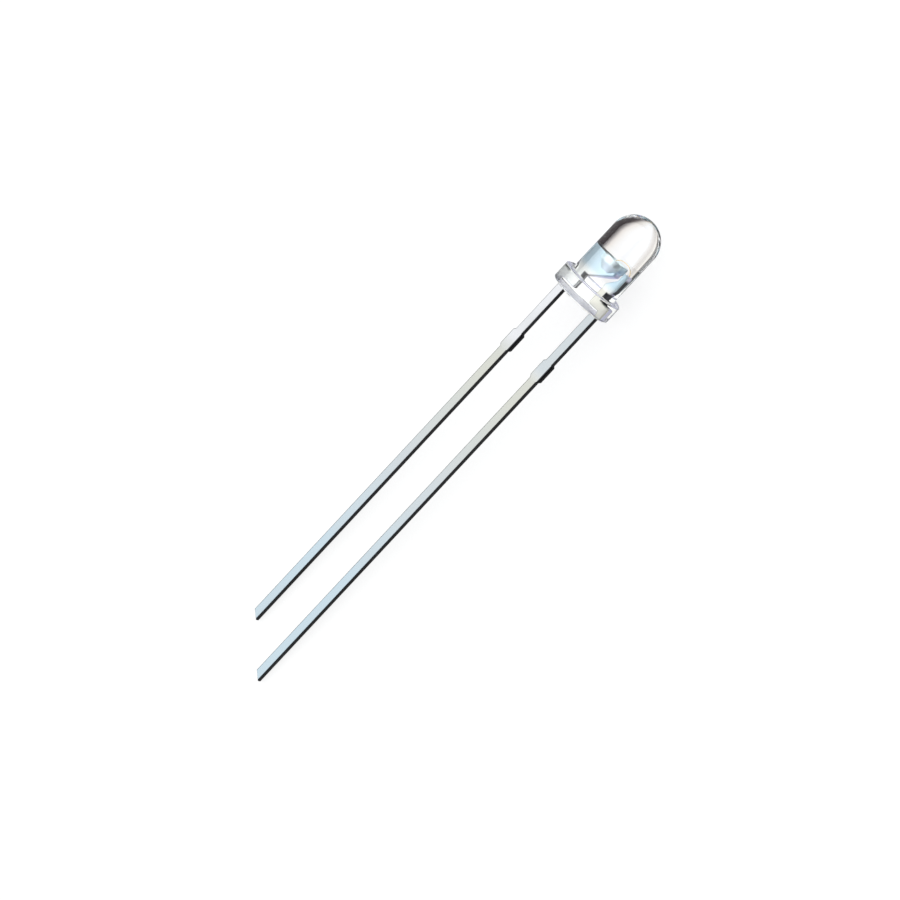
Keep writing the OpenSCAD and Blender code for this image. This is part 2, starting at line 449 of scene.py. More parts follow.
def finish(scene, maker):
    """A material for the pieces, made at its first use. Its maker gets the place on the upright LED."""
    if maker not in MADE:
        material, tree, shader = new_material(maker.__name__)
        resting = add(tree, "ShaderNodeTexCoord").outputs["Object"]
        values = {"Vector": resting, "Location": UNDERSIDE, "Rotation": resting_turn().to_euler()}
        upright = add(tree, "ShaderNodeMapping", values, vector_type="TEXTURE").outputs[0]
        maker(tree, shader, upright, scene.led_finishes, in_mm(scene.led_leads))
        MADE[maker] = material
    return MADE[maker]


# How the finishes vary: settings of their noises by name, the (low, high) of what those drive, and the
# (distance in millimetres, strength) of a bump
RESIN = SimpleNamespace(
    index=1.54, ripples={"Scale": 2500.0, "From": 0.3, "To": 0.7}, roughness=(0.0, 0.62), bump=(0.02, 0.5),
)
PLATE = SimpleNamespace(
    marks={"Scale": 14000.0, "Stretch": 0.02}, patches={"Scale": 450.0, "From": 0.45, "To": 0.75},
    dulled=(0.0, 0.2), marked=(0.16, 0.0), metallic=(1.0, 0.65), patch_roughness=(0.2, 0.34),
    mark_roughness=(0.0, 0.1), inside_roughness=0.2, bump=(0.004, 0.6),
)
STEEL = SimpleNamespace(
    marks={"Scale": 9000.0, "Stretch": 0.08}, patches={"Scale": 900.0, "From": 0.35, "To": 0.7},
    marked=(0.0, 0.5), worn=(0.0, 0.3), metallic=(0.85, 0.3), roughness=(0.38, 0.6), bump=(0.008, 0.8),
)
ADHESIVE = SimpleNamespace(
    flakes={"Scale": 90000.0}, lumps={"Scale": 20000.0, "From": 0.35, "To": 0.7}, bound=(0.0, 0.6),
    metallic=(0.7, 0.25), roughness=(0.42, 0.65), bump=(0.006, 1.0),
)
CRYSTAL = SimpleNamespace(
    gloss={"Roughness": 0.2, "IOR": 2.4, "Coat Weight": 0.2},
    clouds={"Scale": 9000.0, "From": 0.3, "To": 0.8},
    saw={"Scale": 30000.0, "Distortion": 1.5, "Detail": 2.0}, clouded=(0.0, 0.6), bump=(0.001, 0.4),
)
GOLD = SimpleNamespace(marks={"Scale": 60000.0, "Stretch": 0.2}, marked=(0.0, 0.25), roughness=(0.16, 0.3))

# Tone of the plate by its height above the underside of the flange, in millimetres
PLATE_SPAN = (-30, 3)
PLATE_TONES = [
    (-20.0, "tip_tin"), (-13.0, "tin"), (-7.0, "warm_tin"), (-5.2, "warm_tin"),
    (-4.2, "fresh_tin"), (0.0, "fresh_tin"), (0.3, "pale_silver"), (1.5, "pale_silver"), (1.9, "silver"),
]

# Where the metal's finish and its painted shade change, in millimetres: a height, or a distance from the
# middle or along a pair of leads or necks. A mask is 0 at the first place and 1 at the second.
AT = SimpleNamespace(
    inside=(0.0, 0.1), outside=(0.1, 0.0), below=(0.0, -0.1), over_bar=(-5.0, -4.2), foot=(1.5, 1.3),
    anode_side=(0.2, -0.2), top_edge=(2.95, 2.99), under_top=(2.99, 2.95), beside_cup=(0.15, 0.5),
    neck_low=(0.75, 0.85), neck_high=(1.45, 1.35), neck_edge=(0.58, 0.53), inner_side=(1.08, 1.0),
    over_necks=(2.45, 2.7),
)
EDGE_FADE = 0.03
OUTER_FADE = 0.1
NECK_PITCH = 1.3
INNER_LIFT = 1.1
BARE_SHARE = 0.48


def clear_resin(tree, shader, where, finishes, leads):
    """Clear cast epoxy: polished where the mould was, slightly rippled and dull on its open side."""
    open_side = add(tree, "ShaderNodeAttribute", attribute_name="open_side").outputs["Fac"]
    set_inputs(tree, shader, {
        "IOR": RESIN.index,
        "Transmission Weight": 1.0,
        "Metallic": 0.0,
        "Base Color": mixed(open_side, finishes.resin, finishes.open_resin),
        "Roughness": spread_between(open_side, *RESIN.roughness),
    })
    ripples = place_group(soft_patches, where, **RESIN.ripples)
    bumped(tree, shader, calculated("MULTIPLY", ripples, open_side), *RESIN.bump)


def plated_metal(tree, shader, where, finishes, leads):
    """Tin plate on the leads and silver plate inside the lens, both over drawn strip, with painted shade as
    dark lines along edges.
    """
    place = add(tree, "ShaderNodeSeparateXYZ", {"Vector": where}).outputs
    height, along = place["Z"], place["Y"]
    marks = place_group(drawn_grain, where, **PLATE.marks)
    patches = place_group(soft_patches, where, **PLATE.patches)
    inside = faded(height, AT.inside)
    on_anode = faded(along, AT.anode_side)

    stops = [(level, getattr(finishes, tone)) for level, tone in PLATE_TONES]
    even = tones_along(height, PLATE_SPAN, stops)
    # Painted shade: the anode's plate from the tie bar up to the flange takes the greyer tin
    anode_shade_strip = both(faded(height, AT.over_bar), on_anode, faded(height, AT.outside))
    tone = mixed(anode_shade_strip, even, finishes.tin)
    # Painted shade on the anode's foot inside the flange
    anode_foot_shade = both(on_anode, inside, faded(height, AT.foot))
    tone = mixed(anode_foot_shade, tone, finishes.foot_silver_shade)
    face = leads.thickness / 2
    on_cup = faded(calculated("ABSOLUTE", place["X"]), (face, face + EDGE_FADE))
    tone = mixed(on_cup, tone, finishes.cup_silver)
    tone = mixed(spread_between(patches, *PLATE.dulled), tone, finishes.dulled_plate)
    tone = mixed(spread_between(marks, *PLATE.marked), tone, finishes.marked_plate)

    # Painted shade: dark lines in the cut steel's colour along one edge of each lead's face below the flange,
    # along the top edge beside the cup and on the necks' edges
    # Wrapped by their pitch, both leads lie at the same place, and so do both necks
    along_leads = calculated("WRAP", along, leads.pitch * MM, 0.0)
    side = (leads.pitch - leads.width) / 2
    edge_shade_line = both(faded(along_leads, (side + EDGE_FADE, side)), faded(height, AT.below))
    top_edge_shade = both(faded(height, AT.top_edge), faded(along, AT.beside_cup))
    along_necks = calculated("WRAP", along, NECK_PITCH * MM, 0.0)
    neck_heights = both(faded(height, AT.neck_low), faded(height, AT.neck_high))
    neck_shade = both(neck_heights, faded(along_necks, AT.neck_edge))
    tone = mixed(either(edge_shade_line, top_edge_shade, neck_shade), tone, finishes.cut)

    rough_patches = spread_between(patches, *PLATE.patch_roughness)
    rough_marks = spread_between(marks, *PLATE.mark_roughness)
    rough = calculated("ADD", rough_patches, rough_marks)
    set_inputs(tree, shader, {
        "Base Color": tone,
        "Metallic": spread_between(inside, *PLATE.metallic),
        "Roughness": calculated("MULTIPLY_ADD", inside, PLATE.inside_roughness, rough),
    })
    bumped(tree, shader, marks, *PLATE.bump)


def sheared_steel(tree, shader, where, finishes, leads):
    """The sides that the punch cut: dark steel deepened by painted shade, bare where the tie bar was cut,
    partly silvered inside the lens.
    """
    place = add(tree, "ShaderNodeSeparateXYZ", {"Vector": where}).outputs
    height = place["Z"]
    turned = add(tree, "ShaderNodeMapping", {"Vector": where, "Rotation": (0.0, math.radians(90), 0.0)})
    marks = place_group(drawn_grain, turned.outputs[0], **STEEL.marks)
    patches = place_group(soft_patches, where, **STEEL.patches)
    # Painted shade: the sides and the cut tie bar are darker than bare steel, for the shade along the leads
    tone = mixed(spread_between(marks, *STEEL.marked), finishes.sheared, finishes.punch_marks)
    tone = mixed(spread_between(patches, *STEEL.worn), tone, finishes.worn_steel)
    bar_middle = -(leads.bar_distance + leads.bar_height / 2)
    on_bar = calculated("COMPARE", height, bar_middle * MM, BARE_SHARE * leads.bar_height * MM)
    tone = mixed(on_bar, tone, finishes.cut)

    # The silver starts higher on the outer sides than on the sides that face each other
    out = calculated("ABSOLUTE", place["Y"])
    middle = leads.pitch / 2
    outer = both(faded(out, (middle, middle + OUTER_FADE)), faded(height, AT.inside))
    lifted = calculated("MULTIPLY_ADD", faded(out, AT.inner_side), INNER_LIFT * MM, height)
    over_necks = both(faded(lifted, AT.over_necks), faded(height, AT.under_top))
    silvered = either(over_necks, outer)
    set_inputs(tree, shader, {
        "Base Color": mixed(silvered, tone, finishes.side_silver),
        "Metallic": spread_between(silvered, *STEEL.metallic),
        "Roughness": spread_between(marks, *STEEL.roughness),
    })
    bumped(tree, shader, marks, *STEEL.bump)


def silver_adhesive(tree, shader, where, finishes, leads):
    """Dull adhesive full of silver flakes."""
    flakes = add(tree, "ShaderNodeTexVoronoi", {"Vector": where, **ADHESIVE.flakes}).outputs["Distance"]
    lumps = place_group(soft_patches, where, **ADHESIVE.lumps)
    bound = spread_between(flakes, *ADHESIVE.bound)
    set_inputs(tree, shader, {
        "Base Color": mixed(bound, finishes.adhesive, finishes.binder),
        "Metallic": spread_between(flakes, *ADHESIVE.metallic),
        "Roughness": spread_between(lumps, *ADHESIVE.roughness),
    })
    bumped(tree, shader, lumps, *ADHESIVE.bump)


def chip_crystal(tree, shader, where, finishes, leads):
    """The chip's crystal: dark and glossy, with saw marks along its sides."""
    clouds = place_group(soft_patches, where, **CRYSTAL.clouds)
    clouded = spread_between(clouds, *CRYSTAL.clouded)
    tone = mixed(clouded, finishes.chip, finishes.pale_chip)
    set_inputs(tree, shader, {**CRYSTAL.gloss, "Base Color": tone})
    saw = add(tree, "ShaderNodeTexWave", {"Vector": where, **CRYSTAL.saw}, bands_direction="Z").outputs["Fac"]
    bumped(tree, shader, saw, *CRYSTAL.bump)


def bright_gold(tree, shader, where, finishes, leads):
    """Gold of the bond wire and the pad, with faint drawing marks."""
    marks = place_group(drawn_grain, where, **GOLD.marks)
    marked = spread_between(marks, *GOLD.marked)
    set_inputs(tree, shader, {
        "Metallic": 1.0,
        "Base Color": mixed(marked, finishes.gold, finishes.marked_gold),
        "Roughness": spread_between(marks, *GOLD.roughness),
    })


# The cast lens

DISH_POWER = 4


def lens_section(bm, lens):
    """Half section of the casting, from the middle of the underside, round the flange, to the dome's tip."""
    rim = lens.flange_radius - lens.edge_radius
    shoulder = lens.flange_thickness - lens.edge_radius
    root = lens.barrel_radius + lens.root_radius
    dome = lens.height - lens.barrel_radius
    end = line_to(bm, bm.verts.new((0.0, 0.0, 0.0)), spot(rim, 0.0), steps=34)
    end = arc_round(bm, end, spot(rim, lens.edge_radius), degrees=-90, steps=6)
    end = line_to(bm, end, spot(lens.flange_radius, shoulder), steps=4)
    end = arc_round(bm, end, spot(rim, shoulder), degrees=-90, steps=6)
    end = line_to(bm, end, spot(root, lens.flange_thickness), steps=3)
    end = arc_round(bm, end, spot(root, lens.flange_thickness + lens.root_radius), degrees=90, steps=8)
    end = line_to(bm, end, spot(lens.barrel_radius, dome), steps=16)
    arc_round(bm, end, spot(0.0, dome), degrees=-90, steps=40)


def cut_flat(bm, lens):
    """Cuts the flat that marks the cathode side of the flange, and eases its edges."""
    cut = bmesh.ops.bisect_plane(
        bm, geom=bm.verts[:] + bm.edges[:] + bm.faces[:], plane_no=(0, 1, 0), clear_outer=True,
        plane_co=(0, lens.flange_radius - lens.flat_depth, 0),
    )
    loop = [part for part in cut["geom_cut"] if isinstance(part, bmesh.types.BMEdge)]
    bmesh.ops.contextual_create(bm, geom=loop)
    round_edges(bm, loop, lens.edge_radius / 4, segments=2)


def set_open_side(bm, lens, leads):
    """Sinks the open side of the casting a little, and lets the resin climb along each lead."""
    layer = bm.verts.layers.float.new("open_side")
    rim = lens.flange_radius - lens.edge_radius
    inner = (leads.pitch - leads.width) / 2
    outer = (leads.pitch + leads.width) / 2
    for vert in bm.verts:
        x, y, z = (abs(part) for part in vert.co)
        from_axis = math.hypot(x, y)
        if z > SAME_PLACE or from_axis > rim + SAME_PLACE:
            continue
        vert[layer] = 1.0
        gap = math.hypot(max(x - leads.thickness / 2, 0.0), max(y - outer, inner - y, 0.0))
        sunk = lens.dish * (1 - (from_axis / rim) ** DISH_POWER)
        vert.co.z = sunk - lens.climb * math.exp(-gap / lens.climb_reach)


class LED_OT_cast_lens(bpy.types.Operator):
    """Models the clear casting: dome, barrel, flange with its flat, and the open side that the leads leave"""

    bl_idname = "led.cast_lens"
    bl_label = "Cast lens"

    def execute(self, context):
        lens = in_mm(context.scene.led_lens)
        bm = bmesh.new()
        lens_section(bm, lens)
        turn_on_axis(bm, steps=192)
        set_open_side(bm, lens, in_mm(context.scene.led_leads))
        cut_flat(bm, lens)
        bmesh.ops.recalc_face_normals(bm, faces=bm.faces)
        finish_piece("cast_lens", bm, [finish(context.scene, clear_resin)], "epoxy_lens")
        return {"FINISHED"}


# The lead frame

# Radius of the stamped corners as a multiple of the plated edges', and the part of a side that one may take
CORNER_RADIUS = 1.2
CORNER_SHARE = 0.3

# How far the punch goes below the cup's floor and over its rim, in millimetres
PUNCH_BELOW = 0.02
PUNCH_OVER = 1.0


def stub(y, side, leads):
    """Edge of a lead past the cut tie bar, going up, at distance y from the axis."""
    top = -leads.bar_distance
    low = top - leads.bar_height
    proud = y + side * leads.bar_proud
    return [(y, low), (proud, low + leads.bar_proud), (proud, top - leads.bar_proud), (y, top)]


def strip_outline(leads, posts, inner_length, outer_length, post):
    """Outline of a lead and its post as (distance from the axis, height)."""
    inner = (leads.pitch - leads.width) / 2
    outer = (leads.pitch + leads.width) / 2
    return [
        (inner, -inner_length),
        (outer, -outer_length),
        *stub(outer, 1, leads),
        (outer, posts.step_start + posts.step_height),
        *post,
        (inner, posts.step_start),
        *reversed(stub(inner, -1, leads)),
    ]


def post_edges(lens, posts):
    """The distances and heights that both posts share."""
    out = lens.barrel_radius - posts.cover
    neck_out = out - posts.flare
    neck_height = lens.flange_thickness + posts.neck_over
    return SimpleNamespace(
        out=out, neck_out=neck_out, neck_in=neck_out - posts.neck_width, neck_height=neck_height,
        flare_height=neck_height + 2 * posts.flare, step_top=posts.step_start + posts.step_height,
    )


def cathode_outline(lens, leads, posts, cup):
    """The cathode lead and the anvil that carries the cup."""
    edges = post_edges(lens, posts)
    post = [
        (edges.neck_out, edges.step_top),
        (edges.neck_out, edges.neck_height),
        (edges.out, edges.flare_height),
        (edges.out, cup.rim_height - posts.corner),
        (edges.out - posts.corner, cup.rim_height),
        (-cup.mouth_radius, cup.rim_height),
        (-cup.mouth_radius, cup.rim_height - cup.depth - cup.end_height),
        (edges.neck_in, edges.neck_height),
        (edges.neck_in, posts.step_start),
    ]
    return strip_outline(leads, posts, leads.cathode_length, leads.cathode_length - leads.tip_slant, post)


def anode_outline(lens, leads, posts, cup):
    """The anode lead and its narrower post."""
    edges = post_edges(lens, posts)
    inner = cup.mouth_radius + cup.wall + posts.gap
    top = cup.rim_height - posts.anode_drop
    corner = posts.corner / 3
    post = [
        (edges.neck_out, edges.step_top),
        (edges.neck_out, edges.neck_height),
        (edges.out, edges.flare_height),
        (edges.out, top - corner),
        (edges.out - corner, top),
        (inner, top),
        (inner, cup.rim_height - cup.depth - cup.end_height),
        (edges.neck_in, edges.flare_height),
        (edges.neck_in, posts.step_start),
    ]
    return strip_outline(leads, posts, leads.anode_length - leads.tip_slant, leads.anode_length, post)


def is_sheared(face):
    """Whether the punch cut a face, so that it stands square to the sheet."""
    return abs(face.normal.x) < 0.5


def stamp(outline, leads, side):
    """Stamps an outline from the sheet. The sheared sides take the second material."""
    bm = bmesh.new()
    low = -leads.thickness / 2
    verts = [bm.verts.new((low, side * y, z)) for y, z in outline]
    bm.faces.new(verts)
    for vert in verts[2:]:
        before, after = (edge.other_vert(vert).co - vert.co for edge in vert.link_edges)
        reach = CORNER_RADIUS * leads.edge_radius * math.tan((math.pi - before.angle(after)) / 2)
        if reach < CORNER_SHARE * min(before.length, after.length):
            bmesh.ops.bevel(
                bm, geom=[vert], offset=reach, offset_type="OFFSET", segments=3, profile=0.5,
                affect="VERTICES", clamp_overlap=True, material=-1,
            )
    risen = bmesh.ops.extrude_face_region(bm, geom=bm.faces[:])["geom"]
    top = [part for part in risen if isinstance(part, bmesh.types.BMVert)]
    bmesh.ops.translate(bm, verts=top, vec=(leads.thickness, 0, 0))
    bmesh.ops.recalc_face_normals(bm, faces=bm.faces)
    for face in bm.faces:
        face.material_index = int(is_sheared(face))
    rims = {edge for face in bm.faces if not is_sheared(face) for edge in face.edges}
    for face in round_edges(bm, list(rims), leads.edge_radius):
        face.material_index = 0
    return bm


def cup_solid(cup):
    """The round swelling with the cup coined into it."""
    floor = cup.rim_height - cup.depth
    outer = cup.mouth_radius + cup.wall
    bead = cup.wall / 2
    foot = floor - cup.swelling
    bm = bmesh.new()
    end = line_to(bm, bm.verts.new(spot(0.0, foot)), spot(cup.foot_radius, foot), steps=3)
    end = line_to(bm, end, spot(outer, floor), steps=6)
    end = line_to(bm, end, spot(outer, cup.rim_height - bead), steps=4)
    end = arc_round(bm, end, spot(outer - bead, cup.rim_height - bead), degrees=-150, steps=10)
    end = line_to(bm, end, spot(cup.floor_radius, floor), steps=6)
    line_to(bm, end, spot(0.0, floor), steps=3)
    turn_on_axis(bm, steps=64)
    return bm


def cup_cutter(cup):
    """What the punch takes out of the sheet over the cup's floor."""
    low = cup.rim_height - cup.depth - PUNCH_BELOW
    high = cup.rim_height + PUNCH_OVER
    reach = cup.mouth_radius + cup.wall / 2
    bm = bmesh.new()
    end = bm.verts.new(spot(0.0, low))
    for x, z in ((cup.floor_radius, low), (reach, cup.rim_height), (reach, high), (0.0, high)):
        end = line_to(bm, end, spot(x, z))
    turn_on_axis(bm, steps=64)
    return bm


class LED_OT_lead_frame(bpy.types.Operator):
    """Stamps both halves of the lead frame and coins the reflector cup"""

    bl_idname = "led.lead_frame"
    bl_label = "Lead frame"

    def execute(self, context):
        scene = context.scene
        sizes = [in_mm(group) for group in (scene.led_lens, scene.led_leads, scene.led_posts, scene.led_cup)]
        leads, cup = sizes[1], sizes[3]
        metals = [finish(scene, plated_metal), finish(scene, sheared_steel)]
        anvil = joined(stamp(cathode_outline(*sizes), leads, 1), cup_cutter(cup), "DIFFERENCE")
        cathode = joined(anvil, cup_solid(cup), "UNION")
        anode = stamp(anode_outline(*sizes), leads, -1)
        finish_piece("cathode_strip", cathode, metals, "cathode_lead")
        finish_piece("anode_strip", anode, metals, "anode_lead")
        return {"FINISHED"}


# Chip and adhesive

# Where the bead bulges, in millimetres out and as a part of its height, and how uneven its edge is
BEAD_BULGE = 0.004
BEAD_BULGE_HEIGHT = 0.35
BEAD_UNEVEN = 0.035
BEAD_WAVES = (3, 5)
BEAD_WAVE_START = 0.6


def chip_heights(cup, chip):
    """(underside, top) of the chip."""
    low = cup.rim_height - cup.depth + chip.glue
    return low, low + chip.height


def chip_block(chip, low):
    """A sharp block of the chip's size, as a new bmesh."""
    bm = bmesh.new()
    bmesh.ops.create_cube(bm, size=1.0)
    bmesh.ops.scale(bm, vec=(chip.width, chip.width, chip.height), verts=bm.verts)
    bmesh.ops.translate(bm, vec=(0, 0, low + chip.height / 2), verts=bm.verts)
    return bm


class LED_OT_chip(bpy.types.Operator):
    """Models the chip with its bond pad, and the bead of adhesive that it sits in"""

    bl_idname = "led.chip"
    bl_label = "Chip and adhesive"

    def execute(self, context):
        cup = in_mm(context.scene.led_cup)
        chip = in_mm(context.scene.led_chip)
        low, top = chip_heights(cup, chip)
        self.make_chip(context.scene, chip, low, top)
        self.make_bead(context.scene, cup, chip, low)
        return {"FINISHED"}

    def make_chip(self, scene, chip, low, top):
        bm = chip_block(chip, low)
        face = max(bm.faces, key=lambda f: f.calc_center_median().z)
        bmesh.ops.inset_region(bm, faces=[face], thickness=chip.rim, depth=0.0)
        rim = [v for v in bm.verts if v.co.z > top - SAME_PLACE and v not in face.verts]
        bmesh.ops.translate(bm, verts=rim, vec=(0, 0, -chip.rim_drop))
        round_edges(bm, bm.edges[:], chip.edge_radius, segments=2)
        pad = bmesh.ops.create_cone(
            bm, cap_ends=True, segments=40, radius1=chip.pad_radius, radius2=chip.pad_radius,
            depth=chip.pad_thickness, matrix=Matrix.Translation((0, 0, top - chip.pad_thickness / 2)),
        )["verts"]
        for disc in {f for v in pad for f in v.link_faces}:
            disc.material_index = 1
        materials = [finish(scene, chip_crystal), finish(scene, bright_gold)]
        finish_piece("emitter_chip", bm, materials, "led_die")

    def make_bead(self, scene, cup, chip, low):
        floor = cup.rim_height - cup.depth
        lip = chip.width / math.sqrt(2) + chip.glue_lip
        foot = min(cup.floor_radius, lip + chip.glue_climb)
        top = low + chip.glue_climb
        bulge = spot((foot + lip) / 2 + BEAD_BULGE, floor + (top - floor) * BEAD_BULGE_HEIGHT)
        bm = bmesh.new()
        end = line_to(bm, bm.verts.new(spot(0.0, floor)), spot(foot, floor), steps=4)
        end = line_to(bm, end, bulge, steps=3)
        end = line_to(bm, end, spot(lip, top), steps=4)
        line_to(bm, end, spot(0.0, top), steps=5)
        turn_on_axis(bm, steps=72)
        slow, fast = BEAD_WAVES
        for vert in bm.verts:
            round_axis = math.atan2(vert.co.y, vert.co.x)
            wave = math.sin(slow * round_axis + BEAD_WAVE_START) * math.cos(fast * round_axis)
            ease = 1 - BEAD_UNEVEN * (1 + wave)
            vert.co.x *= ease
            vert.co.y *= ease
        bead = joined(bm, chip_block(chip, low), "DIFFERENCE")
        finish_piece("adhesive_bead", bead, [finish(scene, silver_adhesive)], "die_attach")


# The bond wire

# Parts of the loop's rise, or of the way to the foot, at which the handles of the wire's curve lie
BALL_HANDLE_RISE = 1.1
FOOT_HANDLE_WAY = 0.75
FOOT_HANDLE_RISE = 1.25

# Rings round the ball between two angles, along the loop, and down the foot as (height, swelling) in
# halves of the wire
BALL_RINGS = 8
BALL_ANGLES = (-60, 70)
BALL_NECK = 1.1
LOOP_RINGS = 28
FOOT_RINGS = ((0.5, 1.3), (0.15, 1.9), (-0.45, 2.1), (-1.0, 1.7))
FOOT_LEAN = 0.2
FOOT_LENGTHENING = 0.85


def wire_route(lens, posts, cup, chip):
    """The four points of the wire's curve in the plane of the sheet, as (distance from the axis, height)."""
    top = chip_heights(cup, chip)[1]
    post_in = cup.mouth_radius + cup.wall + posts.gap
    foot = -(post_in + lens.barrel_radius - posts.cover) / 2
    return [
        Vector((0.0, top + chip.ball / 3)),
        Vector((0.0, top + BALL_HANDLE_RISE * chip.loop)),
        Vector((FOOT_HANDLE_WAY * foot, top + FOOT_HANDLE_RISE * chip.loop)),
        Vector((foot, cup.rim_height - posts.anode_drop + chip.wire / 2)),
    ]


def on_curve(points, t):
    """The point of a cubic curve at t, and the direction in which it heads there."""
    a, b, c, d = points
    u = 1 - t
    place = u ** 3 * a + 3 * t * u * u * b + 3 * t * t * u * c + t ** 3 * d
    heading = 3 * u * u * (b - a) + 6 * u * t * (c - b) + 3 * t * t * (d - c)
    return place, heading.normalized()


def ring_place(point, heading, across, along):
    """Where a unit ring goes: at a point of the sheet's plane, square to the heading, with two half sizes."""
    normal = Vector((0.0, heading.x, heading.y))
    sideways = Vector((1.0, 0.0, 0.0))
    turn = Matrix((sideways * along, normal.cross(sideways) * across, normal)).transposed().to_4x4()
    return Matrix.Translation((0.0, point.x, point.y)) @ turn


def wire_rings(route, chip):
    """Places of the rings: the flattened ball, the loop and the pressed foot."""
    up = Vector((0.0, 1.0))
    low = route[0].y - chip.ball / 3
    half = chip.wire / 2
    first, last = (math.radians(degrees) for degrees in BALL_ANGLES)
    lowest, highest = math.sin(first), math.sin(last)
    rings = []
    for step in range(BALL_RINGS):
        latitude = first + (last - first) * step / (BALL_RINGS - 1)
        rise = (math.sin(latitude) - lowest) / (highest - lowest)
        size = max(half * BALL_NECK, chip.ball / 2 * math.cos(latitude))
        rings.append(ring_place(Vector((0.0, low + rise * chip.ball / 3)), up, size, size))
    for step in range(1, LOOP_RINGS):
        point, heading = on_curve(route, step / LOOP_RINGS)
        rings.append(ring_place(point, heading, half, half))
    for lift, swell in FOOT_RINGS:
        point = route[3] + Vector((-FOOT_LEAN * chip.wire * (1 - lift), lift * half))
        rings.append(ring_place(point, -up, half * swell, half * swell * FOOT_LENGTHENING))
    return rings


class LED_OT_bond_wire(bpy.types.Operator):
    """Draws the gold wire from its ball on the chip, over its loop, to its foot on the anode post"""

    bl_idname = "led.bond_wire"
    bl_label = "Bond wire"

    def execute(self, context):
        scene = context.scene
        sizes = [in_mm(group) for group in (scene.led_lens, scene.led_posts, scene.led_cup, scene.led_chip)]
        rings = wire_rings(wire_route(*sizes), sizes[3])
        bm = bmesh.new()
        bmesh.ops.create_circle(bm, cap_ends=True, segments=16, radius=1.0, matrix=rings[0])
        edges = bm.edges[:]
        for before, after in zip(rings, rings[1:]):
            new = bmesh.ops.extrude_edge_only(bm, edges=edges)["geom"]
            ring = [part for part in new if isinstance(part, bmesh.types.BMVert)]
            sides = [part for part in new if isinstance(part, bmesh.types.BMEdge)]
            edges = [side for side in sides if all(vert in ring for vert in side.verts)]
            bmesh.ops.transform(bm, matrix=after @ before.inverted(), verts=ring)
        bmesh.ops.contextual_create(bm, geom=edges)
        bmesh.ops.recalc_face_normals(bm, faces=bm.faces)
        finish_piece("gold_bond_wire", bm, [finish(scene, bright_gold)], "bond_wire")
        return {"FINISHED"}


# Floor, sky and camera

WHITE = (1.0, 1.0, 1.0)
FLOOR = SimpleNamespace(
    half_width=1.5, speckle={"Scale": 300.0, "Detail": 2.0}, speckled=(0.0, 0.02),
    speckle_tone=(0.9, 0.9, 0.9), roughness=0.9,
)

# Painted shade on the floor, which only rays through the lens see: its tones across the lens, then where they
# start and end along it, all in millimetres
PAINTED_SHADE_SPAN = (-6, 6)
PAINTED_SHADE_TONES = [
    (-1.6, WHITE), (-1.1, (0.045, 0.032, 0.034)), (-0.3, (0.045, 0.032, 0.034)),
    (0.12, (0.030, 0.020, 0.022)), (0.25, (0.036, 0.026, 0.028)), (0.31, (0.055, 0.042, 0.042)),
    (0.37, (0.22, 0.19, 0.18)), (0.41, (0.46, 0.42, 0.40)), (0.45, (0.78, 0.73, 0.68)),
    (0.50, (0.86, 0.82, 0.77)), (0.60, WHITE), (0.75, WHITE), (0.85, (0.82, 0.79, 0.76)),
    (1.0, (0.68, 0.64, 0.60)), (1.2, (0.76, 0.72, 0.67)), (1.4, (0.90, 0.86, 0.80)),
    (1.55, (0.60, 0.55, 0.48)), (1.72, (0.12, 0.10, 0.08)), (1.9, (0.01, 0.008, 0.007)),
]
PAINTED_SHADE_START = (12.2, 13.0)
PAINTED_SHADE_END = (20.0, 18.0)
# Painted light that rays through the lens see: a brighter floor under the flange, and a gain over all of it
PAINTED_LIGHT_UNDER_FLANGE = (1.2, 1.2, 1.16)
PAINTED_LIGHT_GAIN = 1.07

# Parts of a direction, between 0 and 1, at which the sky turns bright, and what a ray through the lens adds
SKY = SimpleNamespace(high=(0.1, 0.22), cathode_side=(-0.5, -0.25), through_lens=-0.2)

PICTURE_PIXELS = 900
UNDERSIDE_PIXEL = (580.3, 299.0)
SENSOR_WIDTH = 36.0

# The nearest and the farthest that the camera sees, as parts of its distance
CLIP_SHARES = (0.01, 20.0)


def painted_shade_beside_lens():
    """Painted shade in dark bands along both sides of the lens, and painted light under its flange, on a
    glowing floor.
    """
    tree, given, out = new_group("Painted shade beside the lens", [], "Shade", "NodeSocketColor")
    place = add(tree, "ShaderNodeSeparateXYZ", {"Vector": given["Vector"]}).outputs
    past_flange = faded(place["X"], PAINTED_SHADE_START)
    under_lens = both(past_flange, faded(place["X"], PAINTED_SHADE_END))
    table = mixed(past_flange, PAINTED_LIGHT_UNDER_FLANGE, WHITE)
    shade_bands = tones_along(place["Y"], PAINTED_SHADE_SPAN, PAINTED_SHADE_TONES)
    set_inputs(tree, out, {"Shade": scaled(mixed(under_lens, table, shade_bands), PAINTED_LIGHT_GAIN)})
    return tree


def pale_floor(stage):
    """Pale matt floor that glows as a light table does. Rays through the lens alone see the painted shade and
    light on it.
    """
    material, tree, shader = new_material("pale_floor")
    where = add(tree, "ShaderNodeTexCoord").outputs["Object"]
    speckle = add(tree, "ShaderNodeTexNoise", {"Vector": where, **FLOOR.speckle}).outputs["Fac"]
    shade = mixed(spread_between(speckle, *FLOOR.speckled), WHITE, FLOOR.speckle_tone)
    ray = add(tree, "ShaderNodeLightPath").outputs
    # Painted shade in reflections: glossy rays see the floor dim
    shade = mixed(ray["Is Glossy Ray"], shade, stage.mirrored_floor_shade)
    shade = mixed(ray["Is Transmission Ray"], shade, place_group(painted_shade_beside_lens, where))
    set_inputs(tree, shader, {
        "Base Color": scaled(shade, stage.floor),
        "Emission Color": shade,
        "Emission Strength": stage.glow,
        "Roughness": FLOOR.roughness,
    })
    return material


